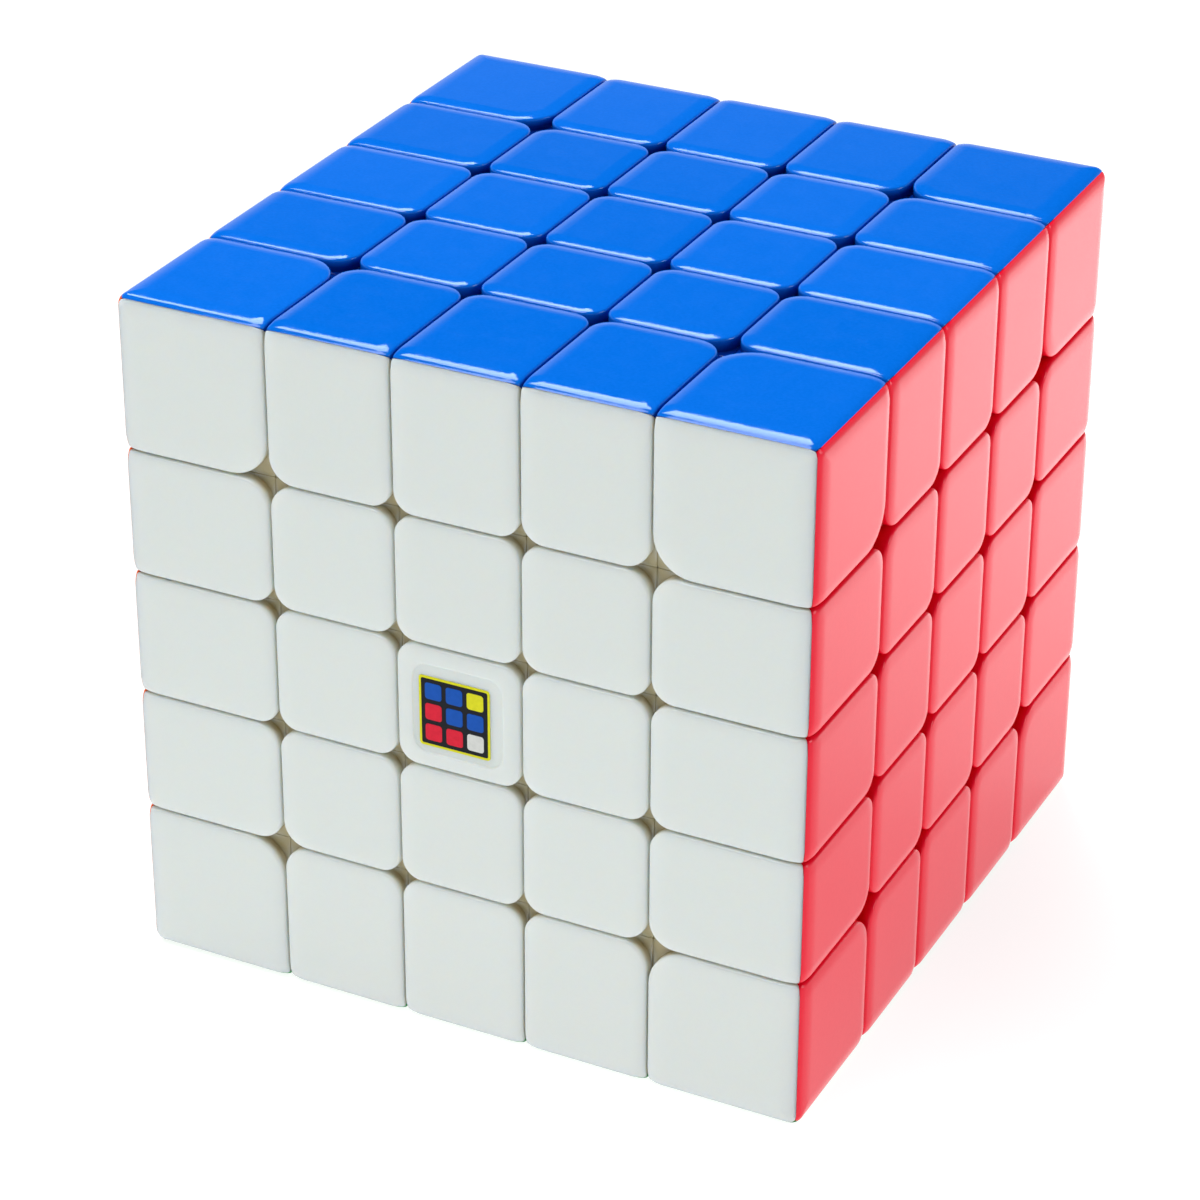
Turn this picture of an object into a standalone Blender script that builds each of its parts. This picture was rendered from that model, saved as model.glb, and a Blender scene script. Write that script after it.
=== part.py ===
"""Twisty puzzle cube, five layers to an edge, 62 mm across.

Every layer turns about the cube's upright axis on cut surfaces that are
surfaces of revolution: a flat cut between the visible blocks, a cone below
them, and a flat cut again between the feet.  The same three cuts are used
along X, Y and Z, so each block is the meeting of three layers, and each foot
hooks under the block beside it: corner under edge, edge under centre piece,
centre piece under the fixed centre, and the fixed centre under the screw head.

The shapes are drawn once, in millimetres, about the centre of the cube, and
set in place by turns about that centre.
"""
import math

import bmesh
import bpy
from mathutils import Matrix, Vector

# ---------------------------------------------------------------- dimensions
MM = 0.001
EDGE = 62.0                # outside edge of the cube
HALF = EDGE / 2.0
CUT_INNER = 5.70           # middle layer / inner layer, between the blocks
CUT_OUTER = 17.07          # inner layer / outer layer, between the blocks
CUT_INNER_FOOT = 4.20      # the same two cuts between the feet
CUT_OUTER_FOOT = 9.50
RHO_FOOT = 20.0            # the cone of each cut runs between these radii
RHO_BLOCK = 25.5
GAP = 0.35                 # running clearance between any two pieces
SEGS = 24                  # sides of a turned cut surface
EDGE_ROUND = 1.2           # rounding of the cube's outside edges

SLOT_FACE = 21.5           # three face blocks stand on one foot above this
SLOT_EDGE = 30.0           # the same for three edge blocks (y + z)

CAP_SEAT = 28.5            # the fixed centre's block ends here, under its cap
CAP_LIFT = 0.30
SKIRT_OUT = 3.50           # half width of the cap's square skirt
SKIRT_WALL = 1.0
SKIRT_END = 25.0
WELL_HALF = 3.80
WELL_FLOOR = 24.3
BORE_R = 3.0               # bore for the screw head and its spring
BORE_FLOOR = 14.0
THROUGH_R = 1.6

SCREW_TIP = 3.0
SCREW_R = 1.2
SPRING_R_OUT = 2.45
SPRING_R_IN = 1.90
SPRING_FROM = 14.3
SPRING_TO = 21.7
SPRING_COILS = 4
HEAD_R = 2.6
HEAD_FROM = 22.0
HEAD_TO = 23.8

BALL_R = 8.6
BOSS_R = 3.4
BOSS_END = 9.3
PILOT_R = 1.5
PILOT_END = 2.6

BIG = 60.0                 # further out than anything in the cube

# ---------------------------------------------------------------- clean start
for ob in list(bpy.data.objects):
    bpy.data.objects.remove(ob, do_unlink=True)

scene = bpy.context.scene
collection = scene.collection


# ---------------------------------------------------------------- mesh makers
def mesh_of(name, verts, faces):
    me = bpy.data.meshes.new(name)
    me.from_pydata([tuple(v) for v in verts], [], faces)
    bm = bmesh.new()
    bm.from_mesh(me)
    bmesh.ops.recalc_face_normals(bm, faces=bm.faces)
    bm.to_mesh(me)
    bm.free()
    return me


def box(name, lo, hi, bevel=0.0, bevel_segs=1, top_only=False):
    """An upright box, its edges rounded by bevel."""
    (x0, y0, z0), (x1, y1, z1) = lo, hi
    v = [(x0, y0, z0), (x1, y0, z0), (x1, y1, z0), (x0, y1, z0),
         (x0, y0, z1), (x1, y0, z1), (x1, y1, z1), (x0, y1, z1)]
    f = [(3, 2, 1, 0), (4, 5, 6, 7), (0, 1, 5, 4), (1, 2, 6, 5),
         (2, 3, 7, 6), (3, 0, 4, 7)]
    me = mesh_of(name, v, f)
    if bevel > 0.0:
        bm = bmesh.new()
        bm.from_mesh(me)
        edges = [e for e in bm.edges
                 if not top_only or all(abs(p.co.z - z1) < 1e-6 for p in e.verts)]
        bmesh.ops.bevel(bm, geom=edges, offset=bevel, offset_type='OFFSET',
                        segments=bevel_segs, profile=0.5, affect='EDGES',
                        clamp_overlap=True)
        bm.to_mesh(me)
        bm.free()
    return me


def turned(name, profile, segs, phase=0.0):
    """A solid of revolution about Z.  profile runs from the axis at the
    bottom, out, and back to the axis at the top, as (radius, height)."""
    verts, rings = [], []
    for r, z in profile:
        if r < 1e-9:
            rings.append([len(verts)])
            verts.append((0.0, 0.0, z))
        else:
            ring = []
            for i in range(segs):
                a = 2.0 * math.pi * (i + phase) / segs
                ring.append(len(verts))
                verts.append((r * math.cos(a), r * math.sin(a), z))
            rings.append(ring)
    faces = []
    for a, b in zip(rings, rings[1:]):
        for i in range(segs):
            j = (i + 1) % segs
            if len(a) == 1:
                faces.append((a[0], b[j], b[i]))
            elif len(b) == 1:
                faces.append((a[i], a[j], b[0]))
            else:
                faces.append((a[i], a[j], b[j], b[i]))
    return mesh_of(name, verts, faces)


def prism_yz(name, polygon, x0, x1):
    """A polygon drawn in Y and Z, extruded from x0 to x1."""
    n = len(polygon)
    verts = [(x0, y, z) for y, z in polygon] + [(x1, y, z) for y, z in polygon]
    faces = [tuple(range(n)), tuple(range(2 * n - 1, n - 1, -1))]
    faces += [(i, (i + 1) % n, n + (i + 1) % n, n + i) for i in range(n)]
    return mesh_of(name, verts, faces)


# Z stays, or Z goes to X, or Z goes to Y, each by a turn of the cube
TO_AXIS = {
    "x": Matrix(((0, 0, 1), (1, 0, 0), (0, 1, 0))).to_4x4(),
    "y": Matrix(((0, 1, 0), (0, 0, 1), (1, 0, 0))).to_4x4(),
    "z": Matrix.Identity(4),
}


def along(me, axis):
    me.transform(TO_AXIS[axis])
    me.update()
    return me


def boolean(base, steps, name):
    """base cut by each (operation, mesh) in turn, as one new mesh."""
    host = bpy.data.objects.new("work", base)
    collection.objects.link(host)
    made = [host]
    for i, (operation, me) in enumerate(steps):
        tool = bpy.data.objects.new("work_tool_%d" % i, me)
        tool.hide_render = True
        tool.display_type = 'WIRE'
        collection.objects.link(tool)
        made.append(tool)
        mod = host.modifiers.new("cut_%d" % i, 'BOOLEAN')
        mod.operation = operation
        mod.solver = 'EXACT'
        mod.object = tool
    deps = bpy.context.evaluated_depsgraph_get()
    out = bpy.data.meshes.new_from_object(host.evaluated_get(deps))
    out.name = name
    for ob in made:
        bpy.data.objects.remove(ob, do_unlink=True)
    bm = bmesh.new()
    bm.from_mesh(out)
    bmesh.ops.remove_doubles(bm, verts=bm.verts, dist=0.004)
    bmesh.ops.dissolve_degenerate(bm, edges=bm.edges, dist=0.002)
    bmesh.ops.dissolve_limit(bm, angle_limit=math.radians(0.4),
                             verts=bm.verts, edges=bm.edges,
                             use_dissolve_boundaries=False)
    bm.to_mesh(out)
    bm.free()
    out.materials.clear()
    return out


# ---------------------------------------------------------------- layer cuts
def cut_line(foot, block, shift):
    """The half profile of one cut, moved by shift along its own normal.
    Positive shift moves it away from the middle of the cube."""
    pts = [(0.0, foot), (RHO_FOOT, foot), (RHO_BLOCK, block), (BIG, block)]
    lines = []
    for (r0, s0), (r1, s1) in zip(pts, pts[1:]):
        n = math.hypot(r1 - r0, s1 - s0)
        nr, ns = -(s1 - s0) / n, (r1 - r0) / n
        lines.append((r0 + nr * shift, s0 + ns * shift,
                      (r1 - r0) / n, (s1 - s0) / n))
    out = [(0.0, lines[0][1])]
    for (ar, as_, adr, ads), (br, bs, bdr, bds) in zip(lines, lines[1:]):
        det = adr * (-bds) - (-bdr) * ads
        t = ((br - ar) * (-bds) - (-bdr) * (bs - as_)) / det
        out.append((ar + adr * t, as_ + ads * t))
    out.append((BIG, lines[-1][1]))
    return out


def inner_cut(shift):
    return cut_line(CUT_INNER_FOOT, CUT_INNER, shift)


def outer_cut(shift):
    return cut_line(CUT_OUTER_FOOT, CUT_OUTER, shift)


def flip(profile):
    return [(r, -s) for r, s in profile]


H = GAP / 2.0


def outer_layer(axis):
    p = outer_cut(+H) + [(BIG, BIG), (0.0, BIG)]
    return along(turned("outer_layer", p, SEGS), axis)


def inner_layer(axis):
    p = inner_cut(+H) + list(reversed(outer_cut(-H)))
    return along(turned("inner_layer", p, SEGS), axis)


def middle_layer(axis):
    p = flip(inner_cut(-H)) + list(reversed(inner_cut(-H)))
    return along(turned("middle_layer", p, SEGS), axis)


def three_layers(axis):
    """The middle layer and the inner layer on each side of it."""
    p = flip(outer_cut(-H)) + list(reversed(outer_cut(-H)))
    return along(turned("three_layers", p, SEGS), axis)


def whole_cube():
    return box("whole", (-HALF,) * 3, (HALF,) * 3, EDGE_ROUND, 2)


def keep(me):
    return ('INTERSECT', me)


def cut(me):
    return ('DIFFERENCE', me)


def join(me):
    return ('UNION', me)


# ---------------------------------------------------------------- the shapes
def corner_shape():
    return boolean(whole_cube(), [keep(outer_layer("z")), keep(outer_layer("x")),
                                  keep(outer_layer("y"))], "corner")


def edge_row_shape():
    """Two wings and the edge between them, on the edge along X at +Y +Z.
    The blocks are separate; their feet are one piece."""
    steps = [keep(outer_layer("z")), keep(outer_layer("y")), keep(three_layers("x"))]
    for side in (-1, 1):
        x = side * CUT_INNER
        tri = [(45.0, SLOT_EDGE - 45.0), (45.0, 45.0), (SLOT_EDGE - 45.0, 45.0)]
        steps.append(cut(prism_yz("slot", tri, x - H, x + H)))
    return boolean(whole_cube(), steps, "edge_row")


def wing_shape():
    """One edge piece of the inner layer, on the upright edge at +X +Y."""
    return boolean(whole_cube(), [keep(outer_layer("x")), keep(outer_layer("y")),
                                  keep(inner_layer("z"))], "wing")


def middle_edge_shape():
    """One edge piece of the middle layer, on the upright edge at +X +Y."""
    return boolean(whole_cube(), [keep(outer_layer("x")), keep(outer_layer("y")),
                                  keep(middle_layer("z"))], "middle_edge")


def face_slots():
    out = []
    for side in (-1, 1):
        x = side * CUT_INNER
        out.append(cut(box("slot", (x - H, -BIG, SLOT_FACE), (x + H, BIG, BIG))))
    return out


def centre_row_shape():
    """Three centre pieces of an inner layer, on the face at +Z, along X."""
    steps = [keep(outer_layer("z")), keep(inner_layer("y")), keep(three_layers("x"))]
    return boolean(whole_cube(), steps + face_slots(), "centre_row")


def hub_row_shape():
    """The fixed centre and its two neighbours, on the face at +Z, along X,
    with the seat and well for the cap and the bore for screw and spring."""
    steps = [keep(outer_layer("z")), keep(middle_layer("y")), keep(three_layers("x"))]
    steps += face_slots()
    steps.append(cut(box("seat", (-CUT_INNER, -BIG, CAP_SEAT), (CUT_INNER, BIG, BIG))))
    steps.append(cut(box("well", (-WELL_HALF, -WELL_HALF, WELL_FLOOR),
                         (WELL_HALF, WELL_HALF, CAP_SEAT + 5.0))))
    steps.append(cut(turned("bore", [(0.0, BORE_FLOOR), (BORE_R, BORE_FLOOR),
                                     (BORE_R, WELL_FLOOR + 1.0),
                                     (0.0, WELL_FLOOR + 1.0)], 16)))
    steps.append(cut(turned("through", [(0.0, CUT_OUTER_FOOT - 1.0),
                                        (THROUGH_R, CUT_OUTER_FOOT - 1.0),
                                        (THROUGH_R, BORE_FLOOR + 1.0),
                                        (0.0, BORE_FLOOR + 1.0)], 12)))
    return boolean(whole_cube(), steps, "hub_row")


def cap_shape():
    """The cap that closes the fixed centre: a plate on a square skirt."""
    w = CUT_INNER - H
    plate = box("plate", (-w, -w, CAP_SEAT + CAP_LIFT), (w, w, HALF), 0.5, 1, True)
    steps = [join(box("skirt", (-SKIRT_OUT, -SKIRT_OUT, SKIRT_END),
                      (SKIRT_OUT, SKIRT_OUT, CAP_SEAT + CAP_LIFT + 0.6))),
             cut(box("hollow", (-SKIRT_OUT + SKIRT_WALL, -SKIRT_OUT + SKIRT_WALL,
                                SKIRT_END - 1.0),
                     (SKIRT_OUT - SKIRT_WALL, SKIRT_OUT - SKIRT_WALL,
                      CAP_SEAT + CAP_LIFT - 0.2)))]
    return boolean(plate, steps, "cap")


def screw_shape():
    """Tension screw with its spring round the shank; the coils are drawn as
    the ribs of one sleeve."""
    p = [(0.0, SCREW_TIP), (0.7, SCREW_TIP), (SCREW_R, SCREW_TIP + 0.8),
         (SCREW_R, SPRING_FROM)]
    pitch = (SPRING_TO - SPRING_FROM) / SPRING_COILS
    for i in range(SPRING_COILS):
        z = SPRING_FROM + pitch * i
        p += [(SPRING_R_OUT, z + 0.05 * pitch), (SPRING_R_OUT, z + 0.55 * pitch),
              (SPRING_R_IN, z + 0.78 * pitch)]
    p += [(SCREW_R, SPRING_TO), (SCREW_R, HEAD_FROM), (HEAD_R, HEAD_FROM),
          (HEAD_R, HEAD_TO - 0.4), (HEAD_R - 0.5, HEAD_TO), (0.0, HEAD_TO)]
    return turned("screw", p, 10)


def core_shape():
    """The ball at the centre, with six bosses and their pilot holes."""
    rings = 8
    p = [(0.0, -BALL_R)]
    for i in range(1, rings):
        a = -math.pi / 2.0 + math.pi * i / rings
        p.append((BALL_R * math.cos(a), BALL_R * math.sin(a)))
    p.append((0.0, BALL_R))
    ball = turned("ball", p, 16, 0.5)
    steps = []
    for axis in "zxy":
        boss = turned("boss", [(0.0, -BOSS_END), (BOSS_R, -BOSS_END),
                               (BOSS_R, BOSS_END), (0.0, BOSS_END)], 12, 0.5)
        steps.append(join(along(boss, axis)))
    for axis in "zxy":
        for side in (-1, 1):
            a, b = sorted((side * PILOT_END, side * (BOSS_END + 1.0)))
            hole = turned("pilot", [(0.0, a), (PILOT_R, a), (PILOT_R, b), (0.0, b)], 8, 0.5)
            steps.append(cut(along(hole, axis)))
    return boolean(ball, steps, "core")


def in_metres(me):
    me.transform(Matrix.Scale(MM, 4))
    me.update()
    return me


SHAPES = {
    "corner": in_metres(corner_shape()),
    "edge_row": in_metres(edge_row_shape()),
    "wing": in_metres(wing_shape()),
    "middle_edge": in_metres(middle_edge_shape()),
    "centre_row": in_metres(centre_row_shape()),
    "hub_row": in_metres(hub_row_shape()),
    "cap": in_metres(cap_shape()),
    "screw": in_metres(screw_shape()),
    "core": in_metres(core_shape()),
}

# ---------------------------------------------------------------- the colours
COLOURS = {
    "blue": (0.010, 0.165, 0.800),
    "white": (0.740, 0.760, 0.740),
    "red": (0.800, 0.020, 0.030),
    "green": (0.005, 0.330, 0.080),
    "yellow": (0.850, 0.640, 0.010),
    "orange": (0.900, 0.200, 0.010),
    "dark": (0.020, 0.020, 0.022),
    "steel": (0.560, 0.560, 0.580),
}


def material_for(name, colour):
    mat = bpy.data.materials.new("mat_" + name)
    mat.use_nodes = True
    shader = mat.node_tree.nodes["Principled BSDF"]
    shader.inputs["Base Color"].default_value = COLOURS[colour] + (1.0,)
    shader.inputs["Roughness"].default_value = 0.28 if colour != "dark" else 0.5
    shader.inputs["Metallic"].default_value = 1.0 if colour == "steel" else 0.0
    return mat


# ---------------------------------------------------------------- the layers
CENTRE = Vector((0.0, 0.0, HALF * MM))


def layer_empty(name):
    """An empty at the cube's centre, on the upright axis that layers turn on."""
    ob = bpy.data.objects.new(name, None)
    ob.location = CENTRE
    ob.empty_display_size = 0.01
    collection.objects.link(ob)
    return ob


LAYERS = {key: layer_empty("axis_" + key)
          for key in ("top", "upper", "middle", "lower", "bottom")}


def turn(degrees, axis):
    return Matrix.Rotation(math.radians(degrees), 4, axis)


def place(name, shape, layer, rotation, colour):
    me = SHAPES[shape].copy()
    me.name = name
    me.materials.append(material_for(name, colour))
    ob = bpy.data.objects.new(name, me)
    collection.objects.link(ob)
    ob.parent = LAYERS[layer]
    ob.rotation_euler = rotation.to_euler()
    me.shade_smooth()
    me.set_sharp_from_angle(angle=math.radians(30.0))
    return ob


SIDE_COLOUR = {"right": "red", "back": "yellow", "left": "orange", "front": "white",
               "top": "blue", "bottom": "green"}
UPSIDE_DOWN = turn(180.0, 'X')

# corners: the drawn corner is right, back and top
for quarter, where in enumerate(("back_right", "back_left", "front_left", "front_right")):
    spin = turn(90.0 * quarter, 'Z')
    place("corner_top_" + where, "corner", "top", spin, "blue")
for quarter, where in enumerate(("front_right", "back_right", "back_left", "front_left")):
    # upside down, the drawn corner is right, front and bottom
    spin = turn(90.0 * quarter, 'Z')
    place("corner_bottom_" + where, "corner", "bottom", spin @ UPSIDE_DOWN, "green")

# edge rows: the drawn row runs along X at the back of the top
for quarter, where in enumerate(("back", "left", "front", "right")):
    spin = turn(90.0 * quarter, 'Z')
    place("edge_row_top_" + where, "edge_row", "top", spin, "blue")
for quarter, where in enumerate(("front", "right", "back", "left")):
    spin = turn(90.0 * quarter, 'Z')
    place("edge_row_bottom_" + where, "edge_row", "bottom", spin @ UPSIDE_DOWN, "green")

# upright edges: the drawn pieces are right and back
EDGE_COLOUR = {"back_right": "red", "back_left": "yellow",
               "front_left": "orange", "front_right": "white"}
for quarter, where in enumerate(("back_right", "back_left", "front_left", "front_right")):
    spin = turn(90.0 * quarter, 'Z')
    place("edge_upper_" + where, "wing", "upper", spin, EDGE_COLOUR[where])
    place("edge_middle_" + where, "middle_edge", "middle", spin, EDGE_COLOUR[where])
for quarter, where in enumerate(("front_right", "back_right", "back_left", "front_left")):
    spin = turn(90.0 * quarter, 'Z')
    place("edge_lower_" + where, "wing", "lower", spin @ UPSIDE_DOWN, EDGE_COLOUR[where])

# sides: lay the drawn face (+Z) over to the front (-Y), then spin it round
LAY_FRONT = turn(90.0, 'X')            # +Z goes to -Y, +Y goes to +Z
for quarter, where in enumerate(("front", "right", "back", "left")):
    spin = turn(90.0 * quarter, 'Z')
    colour = SIDE_COLOUR[where]
    place("centre_row_upper_" + where, "centre_row", "upper", spin @ LAY_FRONT, colour)
    place("hub_row_" + where, "hub_row", "middle", spin @ LAY_FRONT, colour)
    place("centre_row_lower_" + where, "centre_row", "lower",
          spin @ LAY_FRONT @ turn(180.0, 'Z'), colour)
    place("cap_" + where, "cap", "middle", spin @ LAY_FRONT, colour)
    place("screw_" + where, "screw", "middle", spin @ LAY_FRONT, "steel")

# top and bottom
place("centre_row_top_back", "centre_row", "top", Matrix.Identity(4), "blue")
place("hub_row_top", "hub_row", "top", Matrix.Identity(4), "blue")
place("centre_row_top_front", "centre_row", "top", turn(180.0, 'Z'), "blue")
place("cap_top", "cap", "top", Matrix.Identity(4), "blue")
place("screw_top", "screw", "middle", Matrix.Identity(4), "steel")
place("centre_row_bottom_front", "centre_row", "bottom", UPSIDE_DOWN, "green")
place("hub_row_bottom", "hub_row", "bottom", UPSIDE_DOWN, "green")
place("centre_row_bottom_back", "centre_row", "bottom",
      turn(180.0, 'Z') @ UPSIDE_DOWN, "green")
place("cap_bottom", "cap", "bottom", UPSIDE_DOWN, "green")
place("screw_bottom", "screw", "middle", UPSIDE_DOWN, "steel")

place("core", "core", "middle", Matrix.Identity(4), "dark")
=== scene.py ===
"""Looks for the twisty puzzle cube: 98 cubies as separate coloured shells on
inner bodies, centre caps, tension screws, springs and the core, built round
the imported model."""

import math

import bmesh
import bpy
import numpy as np
from mathutils import Matrix, Vector


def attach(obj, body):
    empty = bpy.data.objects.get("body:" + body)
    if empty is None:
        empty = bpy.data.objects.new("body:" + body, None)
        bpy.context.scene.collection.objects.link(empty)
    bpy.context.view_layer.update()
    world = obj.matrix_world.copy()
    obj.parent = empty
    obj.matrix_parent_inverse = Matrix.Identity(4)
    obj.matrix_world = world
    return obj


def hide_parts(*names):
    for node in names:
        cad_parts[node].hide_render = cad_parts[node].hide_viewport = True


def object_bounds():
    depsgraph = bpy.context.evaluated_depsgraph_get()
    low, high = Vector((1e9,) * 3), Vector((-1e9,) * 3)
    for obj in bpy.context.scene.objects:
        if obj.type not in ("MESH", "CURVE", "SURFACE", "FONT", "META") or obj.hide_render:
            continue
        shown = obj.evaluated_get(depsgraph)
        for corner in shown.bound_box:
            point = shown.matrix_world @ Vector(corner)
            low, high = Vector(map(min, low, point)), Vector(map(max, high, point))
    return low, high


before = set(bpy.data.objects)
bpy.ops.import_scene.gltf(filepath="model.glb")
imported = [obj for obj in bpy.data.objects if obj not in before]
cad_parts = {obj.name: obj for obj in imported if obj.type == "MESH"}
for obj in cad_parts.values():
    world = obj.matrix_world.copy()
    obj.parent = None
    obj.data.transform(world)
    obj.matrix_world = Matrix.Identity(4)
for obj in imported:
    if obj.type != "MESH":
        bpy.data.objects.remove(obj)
CAD_LO, CAD_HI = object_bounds()

scene = bpy.context.scene
collection = scene.collection

# ------------------------------------------------------------------ sizes, mm
MM = 0.001
CENTRE = (CAD_LO + CAD_HI) / 2
HALF = (CAD_HI.x - CAD_LO.x) / 2 / MM
CUT_INNER = 5.70
CUT_OUTER = 17.07
SEAM = 0.10                 # half the gap seen between two cubies
EDGE_R = 1.10               # rounding of the cube's outside edges
EDGE_CROWN, EDGE_TILT = 5.0, math.radians(14.0)
BEVEL_R = 0.30              # rounding of a shell's rim beside a seam
CROWN, TILT = 4.4, math.radians(15.0)   # the gentle fall of the face towards its rim
SHELL_T = 2.0               # thickness of a coloured shell
STEP, STEP_R = 1.30, 0.12   # depth and corner radius of the ledge under the round corners
STEP_OUT = 0.075            # how far the ledge stands out of the wall above it
MITRE = 0.035               # half gap where two shells of a cubie meet
RMIN = 0.03

CUT_INNER_FOOT = 4.20
CUT_OUTER_FOOT = 9.50
RHO_FOOT = 20.0
RHO_BLOCK = 25.5
FOOT_GAP = 0.20             # half gap between inner bodies
BIG = 60.0

# face: outward, right and up, seen from outside
FACES = {
    "front": ((0, -1, 0), (1, 0, 0), (0, 0, 1)),
    "right": ((1, 0, 0), (0, 1, 0), (0, 0, 1)),
    "back": ((0, 1, 0), (-1, 0, 0), (0, 0, 1)),
    "left": ((-1, 0, 0), (0, -1, 0), (0, 0, 1)),
    "top": ((0, 0, 1), (1, 0, 0), (0, 1, 0)),
    "bottom": ((0, 0, -1), (1, 0, 0), (0, -1, 0)),
}
COLOUR = {"front": "white", "right": "red", "back": "yellow", "left": "orange",
          "top": "blue", "bottom": "green"}
LAYER = ["bottom_layer", "lower_layer", "middle_layer", "upper_layer", "top_layer"]
XN = ["left", "inleft", "mid", "inright", "right"]
YN = ["front", "infront", "mid", "inback", "back"]
ZN = ["bottom", "lower", "mid", "upper", "top"]
BOUNDS = [-HALF, -CUT_OUTER, -CUT_INNER, CUT_INNER, CUT_OUTER, HALF]


def cell_of(p):
    """Grid index of a point given in mm about the cube's centre."""
    return tuple(sum(1 for b in BOUNDS[1:-1] if c > b) for c in p)


def kind_of(ix, iy, iz):
    outer = sum(1 for i in (ix, iy, iz) if i in (0, 4))
    mids = sum(1 for i in (ix, iy, iz) if i == 2)
    if outer == 3:
        return "corner"
    if outer == 2:
        return "midedge" if mids == 1 else "wing"
    return {0: "xcentre", 1: "tcentre", 2: "centre"}[mids]


def cubie_name(ix, iy, iz):
    return "%s_%s_%s_%s" % (kind_of(ix, iy, iz), ZN[iz], YN[iy], XN[ix])


def cad_node(ix, iy, iz):
    """The CAD node that holds this cubie."""
    x = {0: "left", 4: "right"}.get(ix)
    y = {0: "front", 4: "back"}.get(iy)
    if iz in (0, 4):
        level = "top" if iz == 4 else "bottom"
        if x and y:
            return "corner_%s_%s_%s" % (level, y, x)
        if x or y:
            return "edge_row_%s_%s" % (level, x or y)
        if iy == 2:
            return "hub_row_" + level
        return "centre_row_%s_%s" % (level, "back" if iy == 3 else "front")
    level = {1: "lower", 2: "middle", 3: "upper"}[iz]
    if x and y:
        return "edge_%s_%s_%s" % (level, y, x)
    if iz == 2:
        return "hub_row_" + (x or y)
    return "centre_row_%s_%s" % (level, x or y)


# ------------------------------------------------------------- node helpers
def add(tree, kind, **values):
    node = tree.nodes.new(kind)
    for key, value in values.items():
        setattr(node, key, value)
    return node


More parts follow.
